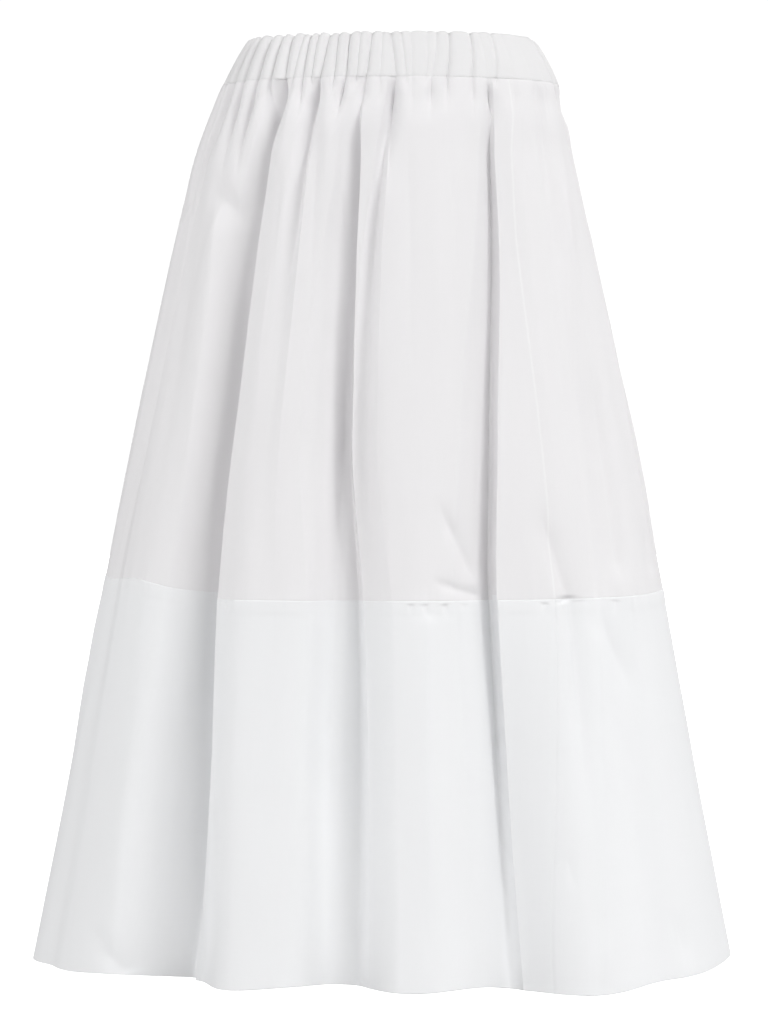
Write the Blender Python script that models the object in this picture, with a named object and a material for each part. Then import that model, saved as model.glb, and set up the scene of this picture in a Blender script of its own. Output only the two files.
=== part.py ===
"""Balloon skirt: a gathered midi skirt with an elastic waistband, an upper tier and a deep lower tier of doubled cloth.

It keeps the hollow form that it has when worn. Metres, +Z up, the front at -Y, and the origin in the middle of the
waist, half way up the band. Each piece that is cut and sewn on is one closed solid: a wall of cloth in its worn form.

The cloth is a surface of two parameters. "turn" is the angle round the body in degrees, 0 at the front and growing
towards +X. "down" is the length along the cloth below the middle of the band. Rows of points keep the same "down" all
round, so a seam or the hem rises where the cloth stands out at a slant.
"""

from collections import namedtuple

import bpy
import numpy as np

# Sizes along the cloth
BAND_HEIGHT = 0.041
UPPER_LENGTH = 0.438
LOWER_LENGTH = 0.3185
SEAM_GAP = 0.0003

# Walls
BAND_WALL = 0.0022
UPPER_WALL = 0.0012
LOWER_WALL = 0.0016

BAND_TOP = -BAND_HEIGHT / 2
BAND_SEAM = BAND_HEIGHT / 2
JOIN = BAND_SEAM + UPPER_LENGTH
HEM = JOIN + LOWER_LENGTH

# The general form, an oval ring at each height: its half width and half depth grow by a straight flare from the waist
# down, the waist is drawn in by a tuck that fades out below it, and the sides are a little fuller half way down
SIDE_AT_WAIST, SIDE_FLARE = 0.1478, 0.1955
FRONT_AT_WAIST, FRONT_FLARE = 0.1080, 0.160
WAIST_TUCK, TUCK_FADE = 0.0148, 0.045
SIDE_FULLNESS, FULLNESS_AT, FULLNESS_REACH = 0.0030, 0.36, 0.28
LEAN_BELOW_WAIST, LEAN_REACH, LEAN_AT_HEM = -0.0068, 0.090, -0.0010

# Places where the cloth rides up, or hangs lower where the rise is negative: how much in metres, at which turn and how
# far along the cloth, and how far round and along it that reaches
Rise = namedtuple("Rise", "metres turn down reach_turn reach_down")
RISES = (
    Rise(0.018, -92, JOIN, 48, 0.13),
    Rise(0.011, -58, JOIN, 21, 0.13),
    Rise(0.005, 92, JOIN, 40, 0.13),
    Rise(0.005, -78, HEM, 48, 0.20),
    Rise(0.005, -11, HEM, 15, 0.20),
    Rise(0.003, 14, HEM, 9, 0.16),
    Rise(-0.007, 36, HEM, 20, 0.20),
    Rise(0.004, -48, HEM, 16, 0.20),
    Rise(0.009, 88, HEM, 34, 0.20),
    Rise(-0.005, 148, HEM, 22, 0.20),
    Rise(0.005, -168, HEM, 24, 0.20),
    Rise(-0.004, -125, HEM, 20, 0.20),
)

# Folds, from the centre back round by the left side, the front and the right side to the centre back again. Each is a
# trough that ends at its edge, where the next lobe of cloth begins: a soft slope on its left, a steep one on its right.
# The columns give one value at each station down the cloth: the edge's turn and the trough's depth, and the widths of
# the two slopes in degrees. Lean is how far the trough's bottom slips under the lobe on its right, as a share of its
# depth. Crisp is 1 for an edge like a crease and 0 for a round one. Curl is the power by which the left slope sinks
# towards the bottom, and 0 for a half cosine. Gathers counts the gathers at the band between this edge and the next,
# and is 0 for a trough that lies across the others' columns.
STATIONS = (0.04, 0.09, 0.17, 0.32, 0.46, 0.61, HEM)
Fold = namedtuple("Fold", "name gathers turn depth_mm left right curl lean crisp")
FOLDS = (
    Fold("centre back seam", 4, (-180,) * 7, (2, 3, 4, 5, 6, 6, 6), 8, 6, 0, 0.0, 0.0),
    Fold(
        "back left", 4, (-158, -158.5, -159, -158, -157, -156, -155),
        (4, 9, 14, 20, 22, 22, 22), 11, 5, 2, 0.2, 0.4,
    ),
    Fold(
        "back left side", 4, (-134, -134.5, -135, -137, -138, -137, -135),
        (5, 12, 19, 28, 33, 32, 30), 12, 4, 2, 0.4, 0.7,
    ),
    Fold(
        "left side back", 4, (-111, -111.5, -112, -113, -112, -112, -113),
        (4, 7, 10, 16, 20, 22, 24), 10, 6, 0, 0.2, 0.2,
    ),
    Fold("left side", 4, (-88, -89, -90, -93, -95, -95, -94), (3, 4, 5, 6, 8, 10, 12), 8, 7, 0, 0.0, 0.0),
    Fold("left upper", 5, (-66, -66, -66, -67, -67, -66, -65), (7, 10, 12, 9, 4, 3, 4), 9, 6, 0, 0.1, 0.2),
    Fold(
        "left front", 3, (-38, -37.8, -38.3, -38.5, -39.0, -37.8, -36.8),
        (22, 34, 38, 45, 44, 25, 12), 6.5, 2.6, 1.4, 0.4, 0.9,
    ),
    Fold(
        "left front hem", 0, (-30, -30, -30, -30, -29, -26.3, -22.8),
        (0, 0, 0, 0, 6, 20, 36), 14, 11, 0, 0.0, 0.0,
    ),
    Fold(
        "front left gather", 4, (-24, -23, -23.2, -23.5, -22, -20, -18),
        (7, 11, 9, 3, 0, 0, 0), 7, 3.0, 0, 0.1, 0.7,
    ),
    Fold(
        "front middle", 3, (-8.2, -7.2, -7.5, -7.5, -4.3, -2.5, -2.0),
        (5, 19, 25, 21, 13, 9, 6), 6.2, 2.4, 1.2, 0.25, 0.9,
    ),
    Fold("front middle hem", 0, (1, 1, 1, 1, 1.8, 2.5, 2.9), (0, 0, 0, 8, 17, 25, 24), 9, 8, 0, 0.0, 0.0),
    Fold(
        "front middle gather", 5, (2.1, 1.2, -0.8, -1.8, 1.5, 3.5, 5),
        (6, 8, 8, 6, 0, 0, 0), 4, 3.0, 0, 0.1, 0.6,
    ),
    Fold(
        "right front", 2, (36, 34.2, 31.5, 25.8, 23.2, 24.2, 25),
        (3, 16, 23, 27, 28, 18, 5), 5, 2.8, 1.2, 0.46, 1.0,
    ),
    Fold("right front hem", 0, (40, 40, 40, 39, 38, 37, 36), (0, 0, 0, 0, 3, 13, 22), 13, 14, 0, 0.0, 0.0),
    Fold(
        "right front seam", 4, (43, 40.5, 38, 37.5, 36.2, 32.8, 29.5),
        (0, 0, 0, 0, 1, 1, 0), 4, 3, 0, 0.0, 0.0,
    ),
    Fold("right upper", 4, (63, 63, 63, 62, 60, 58, 57), (3, 3, 4, 8, 9, 7, 5), 9, 8, 0, 0.0, 0.1),
    Fold("right side", 4, (90, 93, 97, 105, 107, 106, 103), (3, 3, 4, 5, 6, 8, 10), 7, 6, 0, 0.1, 0.1),
    Fold(
        "right side back", 4, (113, 115, 118, 123, 124, 122, 119),
        (5, 10, 16, 24, 27, 27, 25), 11, 5, 2, 0.3, 0.6,
    ),
    Fold(
        "back right side", 4, (136, 138, 140, 142, 142, 140, 138),
        (4, 7, 11, 16, 20, 22, 23), 10, 6, 0, 0.2, 0.3,
    ),
    Fold(
        "back right", 4, (158, 158, 158, 159, 160, 159, 157),
        (5, 11, 17, 25, 30, 29, 27), 12, 4.5, 2, 0.35, 0.6,
    ),
)

# The troughs open from here on, a little below the waist, and have their full depth from the first station on
TROUGHS_START = 0.012

# The slopes grow wider downwards: their share of the full width at the waist, and where they have all of it
WIDTH_AT_WAIST, FULL_WIDTH_AT = 0.6, 0.26

# How much of its lean a fold has here, so that its wall stays clear of the lobe that it slips under
LEAN_SHARE = 0.6

# Each trough lies in a wide soft hollow, which rounds the lobes beside it
HOLLOW_SHARE = 0.26
HOLLOW_WIDTH = 15.0
HOLLOW_AT_WAIST = 7.0

# Gathers: their height on the band, how much higher they swell just below it, how far down they fade, how much both
# differ from one to the next, and how many radians of a sine wave those differences take in one gather
BAND_GATHER_HEIGHT = 0.0012
GATHER_SWELL = 0.0026
SWELL_DISTANCE = 0.012
GATHER_FADE = 0.036
GATHER_HEIGHT_SPREAD = 0.35
GATHER_FADE_SPREAD = 0.55
HEIGHT_WAVE, HEIGHT_WAVE_START = 1.7, 1.0
FADE_WAVE = 2.4

# Columns of points: 4 for each gather down to the last fine row. Below it the front's upper piece, with its narrow
# folds, keeps all of them and the others have every second one.
COLUMNS_A_GATHER = 4
EVERY_SECOND = 2
EDGE_CROWDING = 0.45
CROWDING_STARTS, CROWDING_ENDS = 0.02, 0.20
BAND_SHOULDER = 0.0035
BAND_ROUNDING = 0.0008
STITCH_LINE = 0.0030
FINE_ROWS = (0.034, 0.052, 0.075)
UPPER_ROWS = (0.105, 0.150, 0.200, 0.250, 0.300, 0.350, 0.405)
LOWER_ROWS = (0.520, 0.585, 0.650, 0.715)

# Cloth colours and finish
COTTON_UPPER = (0.84, 0.83, 0.84, 1.0)
COTTON_LOWER = (0.87, 0.87, 0.88, 1.0)
COTTON_BAND = (0.79, 0.78, 0.79, 1.0)
COTTON_ROUGHNESS = 0.85


def through(values, down):
    """A smooth line through one value at each station, with no overshoot between them, and level beyond the ends."""
    at, value = np.array(STATIONS), np.array(values, float)
    rise = np.diff(value) / np.diff(at)
    slope = np.zeros(len(value))
    for k in range(1, len(value) - 1):
        if rise[k - 1] * rise[k] > 0:
            slope[k] = 2 * rise[k - 1] * rise[k] / (rise[k - 1] + rise[k])
    down = np.clip(down, at[0], at[-1])
    k = np.clip(np.searchsorted(at, down) - 1, 0, len(at) - 2)
    step = at[k + 1] - at[k]
    t = (down - at[k]) / step
    ends = value[k] * (1 + 2 * t) * (1 - t) ** 2 + value[k + 1] * t * t * (3 - 2 * t)
    return ends + step * (slope[k] * t * (1 - t) ** 2 - slope[k + 1] * t * t * (1 - t))


def smooth_step(x, start, end):
    """0 before start, 1 after end, and a smooth rise between them."""
    t = np.clip((x - start) / (end - start), 0, 1)
    return t * t * (3 - 2 * t)


def bell(x, width):
    """1 at 0, falling smoothly to 0 at width on both sides."""
    return 0.5 + 0.5 * np.cos(np.pi * np.clip(np.abs(x) / width, 0, 1))


def around(turn, centre):
    """The angle from centre to turn, between -180 and 180 degrees."""
    return (turn - centre + 180) % 360 - 180


def trough(fold, turn, down):
    """How much of a fold's depth is reached: 1 at the bottom, 0 on the lobes beside it.

    The left slope is a half cosine, or the share of the way to the fold's curl. The right slope mixes a half cosine
    with a quarter cosine, which ends in an edge.
    """
    opened = WIDTH_AT_WAIST + (1 - WIDTH_AT_WAIST) * smooth_step(down, 0, FULL_WIDTH_AT)
    x = around(turn, through(fold.turn, down) - fold.right * opened)
    right = np.clip(x / (fold.right * opened), 0, 1)
    steep = (1 - fold.crisp) * (0.5 + 0.5 * np.cos(np.pi * right)) + fold.crisp * np.cos(np.pi * right / 2)
    start = fold.left * opened
    left = np.clip(1 + x / start, 0, 1) ** fold.curl if fold.curl else bell(x, start)
    near = np.where(x < 0, left, np.where(right < 1, steep, 0.0))
    wide = HOLLOW_AT_WAIST + (HOLLOW_WIDTH - HOLLOW_AT_WAIST) * smooth_step(down, CROWDING_STARTS, CROWDING_ENDS)
    return (1 - HOLLOW_SHARE) * near + HOLLOW_SHARE * bell(x, wide)


def ring(turn, down):
    """The general form without folds: a point, and the outward and onward directions in its horizontal ring."""
    flat_down = down
    for rise in RISES:
        down = down - rise.metres * bell(around(turn, rise.turn), rise.reach_turn) * bell(
            flat_down - rise.down, rise.reach_down
        )
    sine, cosine = np.sin(np.radians(turn)), np.cos(np.radians(turn))
    slant = (SIDE_FLARE * sine) ** 2 + (FRONT_FLARE * cosine) ** 2
    below = down * (1 - slant / 2)
    tuck = WAIST_TUCK * np.exp(-below / TUCK_FADE)
    fullness = SIDE_FULLNESS * bell(below - FULLNESS_AT, FULLNESS_REACH)
    half_width = SIDE_AT_WAIST + SIDE_FLARE * below - tuck + fullness
    half_depth = FRONT_AT_WAIST + FRONT_FLARE * below - tuck
    lean = LEAN_BELOW_WAIST * smooth_step(below, 0, LEAN_REACH) + LEAN_AT_HEM * np.clip(below / HEM, 0, 1)
    point = np.stack([lean + half_width * sine, -half_depth * cosine, -below], -1)
    flat = np.zeros_like(below)
    onward = np.stack([half_width * cosine, half_depth * sine, flat], -1)
    onward /= np.linalg.norm(onward, axis=-1, keepdims=True)
    outward = np.stack([onward[..., 1], -onward[..., 0], flat], -1)
    return point, outward, onward


def gathers(column, down):
    """The gathers' height: a rounded crest in each, which swells just below the band and fades at its own rate."""
    number = np.floor(column / COLUMNS_A_GATHER)
    crest = np.abs(np.sin(np.pi * column / COLUMNS_A_GATHER))
    fade = GATHER_FADE * (1 + GATHER_FADE_SPREAD * np.sin(FADE_WAVE * number))
    below = np.clip(down - BAND_SEAM, 0, None)
    height = BAND_GATHER_HEIGHT + GATHER_SWELL * smooth_step(below, 0, SWELL_DISTANCE)
    uneven = 1 + GATHER_HEIGHT_SPREAD * np.sin(HEIGHT_WAVE * number + HEIGHT_WAVE_START)
    return height * uneven * crest * np.exp(-below / fade)


def cloth(turn, column, down):
    """The tiers' outer face: the general form, sunk into troughs that lean under the lobe beside them, and gathered."""
    point, outward, onward = ring(turn, down)
    sunk, slipped = np.zeros_like(turn), np.zeros_like(turn)
    opened = smooth_step(down, TROUGHS_START, STATIONS[0])
    for fold in FOLDS:
        depth = through(fold.depth_mm, down) / 1000 * opened * trough(fold, turn, down)
        sunk += depth
        slipped += fold.lean * LEAN_SHARE * depth
    proud = gathers(column, down) - sunk
    return point + outward * proud[..., None] + onward * slipped[..., None]


def column_turns(down):
    """The turn of each fine column at a row: columns follow the folds' edges, and crowd towards them below the band."""
    lines = [fold for fold in FOLDS if fold.gathers]
    crowding = EDGE_CROWDING * smooth_step(down, CROWDING_STARTS, CROWDING_ENDS)
    turns = []
    for k, fold in enumerate(lines):
        start = float(through(fold.turn, down))
        end = float(through(lines[(k + 1) % len(lines)].turn, down))
        if end < start:
            end += 360
        count = fold.gathers * COLUMNS_A_GATHER
        t = np.arange(count) / count
        share = (1 - crowding) * t + crowding * t * t * (3 - 2 * t)
        turns.append(start + (end - start) * share)
    return np.concatenate(turns)


def line_column(name):
    """The number of the fine column that follows a fold's edge."""
    count = 0
    for fold in FOLDS:
        if fold.name == name:
            return count
        count += fold.gathers * COLUMNS_A_GATHER
    raise ValueError(name)


def ring_normals(points):
    """The outward direction at each point of a closed horizontal row, half way between those of the two lines there."""
    ahead = np.roll(points, -1, axis=0) - points
    ahead /= np.linalg.norm(ahead, axis=1, keepdims=True)
    along = ahead + np.roll(ahead, 1, axis=0)
    normal = np.stack([along[:, 1], -along[:, 0], np.zeros(len(along))], -1)
    return normal / np.linalg.norm(normal, axis=1, keepdims=True)


def tier_row(down, wall, step):
    """One row of a tier, as its outer and inner points: every fine column where step is 1, every second one at 2."""
    turns = column_turns(down)[::step]
    columns = np.arange(0, len(turns) * step, step)
    outer = cloth(turns, columns, np.full(len(turns), float(down)))
    return outer, outer - ring_normals(outer) * wall


def band_row(down, wall, drawn_in):
    """One row of the waistband: gathers stand out from its outer face over a plain inside."""
    turns = column_turns(down)
    columns = np.arange(len(turns))
    point, outward, _ = ring(turns, np.full(len(turns), float(down)))
    crest = np.abs(np.sin(np.pi * columns / COLUMNS_A_GATHER))
    number = columns // COLUMNS_A_GATHER
    height = BAND_GATHER_HEIGHT * (1 + GATHER_HEIGHT_SPREAD * np.sin(HEIGHT_WAVE * number + HEIGHT_WAVE_START))
    outer = point + outward * (height * crest - drawn_in)[:, None]
    return outer, point - outward * wall


def strip(upper, lower, closed):
    """Faces between two rows of vertex numbers, where the lower row may have half as many columns."""
    halved = (len(lower) if closed else len(lower) - 1) * 2 == (len(upper) if closed else len(upper) - 1)
    faces = []
    spans = len(lower) if closed else len(lower) - 1
    for j in range(spans):
        b, c = lower[j], lower[(j + 1) % len(lower)]
        if halved:
            a, m, d = upper[2 * j], upper[2 * j + 1], upper[(2 * j + 2) % len(upper)]
            faces += [(a, b, m), (m, b, c), (m, c, d)]
        else:
            faces.append((upper[j], b, c, upper[(j + 1) % len(upper)]))
    return faces


def flipped(faces):
    return [tuple(reversed(face)) for face in faces]


def wall_object(name, rows, colour, closed):
    """A closed wall from rows of outer and inner points, top to bottom, as one object with its own material."""
    points, outer, inner = [], [], []
    for outside, inside in rows:
        for side, numbers in ((outside, outer), (inside, inner)):
            numbers.append(list(range(len(points), len(points) + len(side))))
            points.extend(side.tolist())
    faces = []
    for k in range(len(rows) - 1):
        faces += strip(outer[k], outer[k + 1], closed)
        faces += flipped(strip(inner[k], inner[k + 1], closed))
        if not closed:
            faces.append((outer[k][0], inner[k][0], inner[k + 1][0], outer[k + 1][0]))
            faces.append((outer[k][-1], outer[k + 1][-1], inner[k + 1][-1], inner[k][-1]))
    faces += strip(inner[0], outer[0], closed)
    faces += strip(outer[-1], inner[-1], closed)
    mesh = bpy.data.meshes.new(name)
    mesh.from_pydata(points, [], faces)
    mesh.validate()
    mesh.shade_smooth()
    material = bpy.data.materials.new(name + "_cotton")
    material.use_nodes = True
    shader = material.node_tree.nodes["Principled BSDF"]
    shader.inputs["Base Color"].default_value = colour
    shader.inputs["Roughness"].default_value = COTTON_ROUGHNESS
    shader.inputs["Metallic"].default_value = 0.0
    mesh.materials.append(material)
    made = bpy.data.objects.new(name, mesh)
    bpy.context.collection.objects.link(made)
    return made


def gore_rows(rows, steps, first, last):
    """The part of closed rows between two fine columns, with half a seam gap left at both of its cut edges."""
    cut = []
    for (outer, inner), step in zip(rows, steps):
        count = len(outer)
        picked = np.arange(first // step, last // step + 1) % count
        start, end = picked[0], picked[-1]
        ahead = outer[(start + 1) % count] - outer[start]
        behind = outer[(end - 1) % count] - outer[end]
        piece_outer, piece_inner = outer[picked].copy(), inner[picked].copy()
        for side in (piece_outer, piece_inner):
            side[0] += ahead / np.linalg.norm(ahead) * SEAM_GAP / 2
            side[-1] += behind / np.linalg.norm(behind) * SEAM_GAP / 2
        cut.append((piece_outer, piece_inner))
    return cut


def build_band():
    """The waistband: a closed ring, rounded over at its top, with a groove along the stitches above its lower edge."""
    bottom = BAND_SEAM - SEAM_GAP / 2
    rows = [
        band_row(BAND_TOP, BAND_WALL, BAND_ROUNDING),
        band_row(BAND_TOP + BAND_SHOULDER, BAND_WALL, 0.0),
        band_row(bottom - STITCH_LINE, BAND_WALL, BAND_ROUNDING),
        band_row(bottom, BAND_WALL, 0.0),
    ]
    wall_object("waistband", rows, COTTON_BAND, closed=True)


def build_tiers():
    """The two tiers, each cut into a front, a right and a left piece along the same columns."""
    count = sum(fold.gathers for fold in FOLDS) * COLUMNS_A_GATHER
    left_seam = line_column("left front") - COLUMNS_A_GATHER
    right_seam = line_column("right front seam")
    fine = [BAND_SEAM + SEAM_GAP / 2, *FINE_ROWS]
    coarse = [*UPPER_ROWS, JOIN - SEAM_GAP / 2]
    below = [JOIN + SEAM_GAP / 2, *LOWER_ROWS, HEM]
    lower_steps = [EVERY_SECOND] * len(below)
    lower = [tier_row(down, LOWER_WALL, EVERY_SECOND) for down in below]
    gores = (
        ("front", left_seam, right_seam, 1),
        ("right", right_seam, count, EVERY_SECOND),
        ("left", 0, left_seam, EVERY_SECOND),
    )
    for name, first, last, step in gores:
        upper_steps = [1] * len(fine) + [step] * len(coarse)
        upper = [tier_row(down, UPPER_WALL, row_step) for down, row_step in zip(fine + coarse, upper_steps)]
        wall_object("upper_" + name, gore_rows(upper, upper_steps, first, last), COTTON_UPPER, closed=False)
        wall_object("lower_" + name, gore_rows(lower, lower_steps, first, last), COTTON_LOWER, closed=False)


for old in list(bpy.data.objects):
    bpy.data.objects.remove(old, do_unlink=True)
build_band()
build_tiers()
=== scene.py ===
"""A balloon skirt in white cotton poplin: waistband, gathered upper tier and doubled lower tier, dressed on its frame.

The cloth is a surface of two parameters, as its solids are. "turn" is the angle round the body in degrees, 0 at the
front and growing to the right. "down" is the length along the cloth in metres below the middle of the waistband. Every
form on it, from the big folds to the seams, is a function of those two, worked out for whole grids at once.
"""

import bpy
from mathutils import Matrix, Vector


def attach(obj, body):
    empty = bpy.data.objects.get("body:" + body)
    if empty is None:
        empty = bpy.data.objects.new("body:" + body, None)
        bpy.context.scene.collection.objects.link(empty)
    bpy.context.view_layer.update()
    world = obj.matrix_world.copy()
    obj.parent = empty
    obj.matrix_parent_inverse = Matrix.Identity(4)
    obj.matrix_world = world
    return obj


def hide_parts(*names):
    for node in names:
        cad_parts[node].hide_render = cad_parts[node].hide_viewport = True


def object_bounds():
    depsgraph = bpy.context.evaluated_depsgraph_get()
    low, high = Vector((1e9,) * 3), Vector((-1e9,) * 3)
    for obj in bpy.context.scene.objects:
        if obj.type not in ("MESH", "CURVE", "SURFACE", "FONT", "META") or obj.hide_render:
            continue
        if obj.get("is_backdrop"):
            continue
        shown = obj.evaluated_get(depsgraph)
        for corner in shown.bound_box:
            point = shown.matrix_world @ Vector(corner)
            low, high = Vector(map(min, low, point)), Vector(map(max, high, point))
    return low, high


bl_info = {
    "name": "Balloon skirt",
    "version": (1, 0, 0),
    "blender": (4, 5, 0),
    "location": "3D View > Sidebar > Skirt",
    "description": "Makes a gathered two-tier skirt in white cotton poplin on its packed frame",
    "category": "Add Mesh",
}

import math
from collections import namedtuple

import bpy
import numpy as np
from mathutils import Vector

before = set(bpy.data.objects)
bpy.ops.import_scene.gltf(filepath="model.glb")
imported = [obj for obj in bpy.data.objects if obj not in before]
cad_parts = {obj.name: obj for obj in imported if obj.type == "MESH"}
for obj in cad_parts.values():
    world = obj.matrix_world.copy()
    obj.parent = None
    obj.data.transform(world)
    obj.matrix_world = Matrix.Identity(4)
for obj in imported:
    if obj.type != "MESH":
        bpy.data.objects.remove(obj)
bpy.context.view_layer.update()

# Sizes along the cloth, in metres, as the solids have them
BAND_HEIGHT = 0.041
UPPER_LENGTH = 0.438
LOWER_LENGTH = 0.3185
SEAM_GAP = 0.0003
BAND_TOP = -BAND_HEIGHT / 2
BAND_SEAM = BAND_HEIGHT / 2
JOIN = BAND_SEAM + UPPER_LENGTH
HEM = JOIN + LOWER_LENGTH

# The general form: an oval ring at each height
SIDE_AT_WAIST, SIDE_FLARE = 0.1478, 0.1955
FRONT_AT_WAIST, FRONT_FLARE = 0.1080, 0.160
WAIST_TUCK, TUCK_FADE = 0.0148, 0.045
SIDE_FULLNESS, FULLNESS_AT, FULLNESS_REACH = 0.0030, 0.36, 0.28
LEAN_BELOW_WAIST, LEAN_REACH, LEAN_AT_HEM = -0.0068, 0.090, -0.0010

# Where the cloth rides up, or hangs lower where the rise is negative
Rise = namedtuple("Rise", "metres turn down reach_turn reach_down")
RISES = (
    Rise(0.018, -92, JOIN, 48, 0.13),
    Rise(0.011, -58, JOIN, 21, 0.13),
    Rise(0.005, 92, JOIN, 40, 0.13),
    Rise(0.005, -78, HEM, 48, 0.20),
    Rise(0.005, -11, HEM, 15, 0.20),
    Rise(0.003, 14, HEM, 9, 0.16),
    Rise(-0.007, 36, HEM, 20, 0.20),
    Rise(0.004, -48, HEM, 16, 0.20),
    Rise(0.009, 88, HEM, 34, 0.20),
    Rise(-0.005, 148, HEM, 22, 0.20),
    Rise(0.005, -168, HEM, 24, 0.20),
    Rise(-0.004, -125, HEM, 20, 0.20),
)

# The big folds, from the centre back round by the left side. Each is a trough that ends at its edge, where the next
# lobe of cloth begins. The columns give the edge's turn and the trough's depth at each station down the cloth, the
# widths of its two slopes in degrees, the power of the left one or 0, how far its bottom slips under the lobe on its
# right, and how sharp its edge is. Cells counts the column cells between this edge and the next, and is 0 for a trough
# that lies across the others.
STATIONS = (0.04, 0.09, 0.17, 0.32, 0.46, 0.61, HEM)
TROUGHS_START = 0.012
Fold = namedtuple("Fold", "name cells turn depth_mm left right curl lean crisp", defaults=(0, 0.0, 0.0))
FOLDS = (
    Fold("centre back seam", 4, (-180,) * 7, (2, 3, 4, 5, 6, 6, 6), 8, 6),
    Fold("back left", 4, (-158, -158.5, -159, -158, -157, -156, -155), (4, 9, 14, 20, 22, 22, 22), 11, 5, 2, 0.2, 0.4),
    Fold(
        "back left side", 4, (-134, -134.5, -135, -137, -138, -137, -135),
        (5, 12, 19, 28, 33, 32, 30), 12, 4, 2, 0.4, 0.7,
    ),
    Fold(
        "left side back", 4, (-111, -111.5, -112, -113, -112, -112, -113),
        (4, 7, 10, 16, 20, 22, 24), 10, 6, 0, 0.2, 0.2,
    ),
    Fold("left side", 4, (-88, -89, -90, -93, -95, -95, -94), (3, 4, 5, 6, 8, 10, 12), 8, 7),
    Fold("left upper", 5, (-66, -66, -66, -67, -67, -66, -65), (7, 10, 12, 9, 4, 3, 4), 9, 6, 0, 0.1, 0.2),
    Fold(
        "left front", 3, (-38.4, -38.2, -38.7, -38.8, -39.0, -37.9, -37.2),
        (22, 34, 40, 50, 50, 32, 16), 8.5, 3.2, 1.3, 0.4, 0.9,
    ),
    Fold("left front hem", 0, (-30, -30, -30, -30, -29, -27.4, -24.6), (0, 0, 0, 0, 8, 30, 46), 14, 12),
    Fold("front left gather", 4, (-24, -23, -23.2, -23.5, -22, -20, -18), (7, 11, 9, 3, 0, 0, 0), 7, 3.0, 0, 0.1, 0.7),
    Fold(
        "front middle", 3, (-8.2, -7.3, -7.9, -7.9, -4.5, -2.9, -2.4),
        (5, 19, 26, 26, 19, 11, 6), 8.5, 2.5, 1.2, 0.25, 0.9,
    ),
    Fold("front middle hem", 0, (1, 1, 1, 1, 1.8, 2.5, 2.9), (0, 0, 0, 8, 20, 34, 35), 10, 8),
    Fold("front middle gather", 5, (2.1, 1.2, -0.8, -1.8, 1.5, 3.5, 5), (6, 9, 11, 10, 2, 0, 0), 4, 3.0, 0, 0.1, 0.6),
    Fold("right front", 2, (36, 34.5, 32, 26.2, 23.2, 24.2, 25), (3, 13, 18, 25, 30, 20, 8), 6.5, 2.7, 1.2, 0.4, 1.0),
    Fold("right front hem", 0, (40, 40, 40, 39, 38, 37, 36), (0, 0, 0, 0, 5, 22, 36), 12, 13),
    Fold("right front seam", 4, (43, 40.5, 38, 37.5, 36.2, 32.8, 29.5), (0, 0, 0, 0, 1, 1, 0), 4, 3),
    Fold("right upper", 4, (63, 63, 63, 62, 60, 58, 57), (3, 3, 4, 8, 9, 7, 5), 9, 8, 0, 0.0, 0.1),
    Fold("right side", 4, (90, 93, 97, 105, 107, 106, 103), (3, 3, 4, 5, 6, 8, 10), 7, 6, 0, 0.1, 0.1),
    Fold("right side back", 4, (113, 115, 118, 123, 124, 122, 119), (5, 10, 16, 24, 27, 27, 25), 11, 5, 2, 0.3, 0.6),
    Fold("back right side", 4, (136, 138, 140, 142, 142, 140, 138), (4, 7, 11, 16, 20, 22, 23), 10, 6, 0, 0.2, 0.3),
    Fold("back right", 4, (158, 158, 158, 159, 160, 159, 157), (5, 11, 17, 25, 30, 29, 27), 12, 4.5, 2, 0.35, 0.6),
)
EDGES = tuple(fold for fold in FOLDS if fold.cells)
FIRST_CELL = np.cumsum([0] + [fold.cells for fold in EDGES])
CELLS = int(FIRST_CELL[-1])
WIDTH_AT_WAIST, FULL_WIDTH_AT = 0.5, 0.26
HOLLOW_SHARE, HOLLOW_WIDTH, HOLLOW_AT_WAIST = 0.26, 15.0, 7.0
EDGE_CROWDING = 0.8
CROWDING_STARTS, CROWDING_ENDS = 0.02, 0.20

# The grids' rows: the first step, the last one and the widest between, and the share of the way by which steps grow.
# The hem's fold and the band's rolled edges turn in a few parts.
STEP_GROWTH = 0.10
UPPER_STEPS = (0.0006, 0.0006, 0.0044)
LOWER_OUTER_STEPS, LOWER_INNER_STEPS = (0.0005, 0.0010, 0.0046), (0.002, 0.0010, 0.0100)
BAND_OUTER_STEPS, BAND_INNER_STEPS = (0.0012, 0.0006, 0.0040), (0.0014, 0.0014, 0.0050)
ROLL_STEPS = 6

# The waistband: its cut width, its columns, how its inner face follows the gathers, and how they dip its top edge
BAND_CUT = 1.04
BAND_COLUMNS = 1800
BAND_EDGE_ROUNDING = 0.0003
INSIDE_SHARE = 0.75
TOP_DIP, TOP_DIP_FADE = 0.6, 0.006
BAND_RUMPLE_SHARE = 0.6

# The stitches: their line above the band's seam, the groove that they pull, their thread, the share of a stitch on each
# side of its middle that shows, and how many points the line has
STITCH_LINE, STITCH_GROOVE, GROOVE_WIDTH = 0.0012, 0.00022, 0.0009
THREAD_RADIUS, THREAD_LIFT = 0.00028, 0.0001
STITCH_HALF, LINE_POINTS = 0.40, 6001

# The upper tier's edges go on, out of sight, under the band's edge and the lower tier's, and step back a little there.
# The lower tier swells just below the join, over its turned allowance.
HIDDEN_EDGE = 0.004
BAND_TUCK, JOIN_TUCK, TUCK_LENGTH = 0.0006, 0.0007, 0.0010
JOIN_SWELL, JOIN_ROUNDING, ROUNDING_LENGTH = 0.0004, 0.0003, 0.0008
SWELL_STARTS_TO_END, SWELL_ENDS = 0.008, 0.014
PUCKER_HEIGHTS, PUCKER_FADE = (0.0006, 0.0003), 0.012

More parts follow.
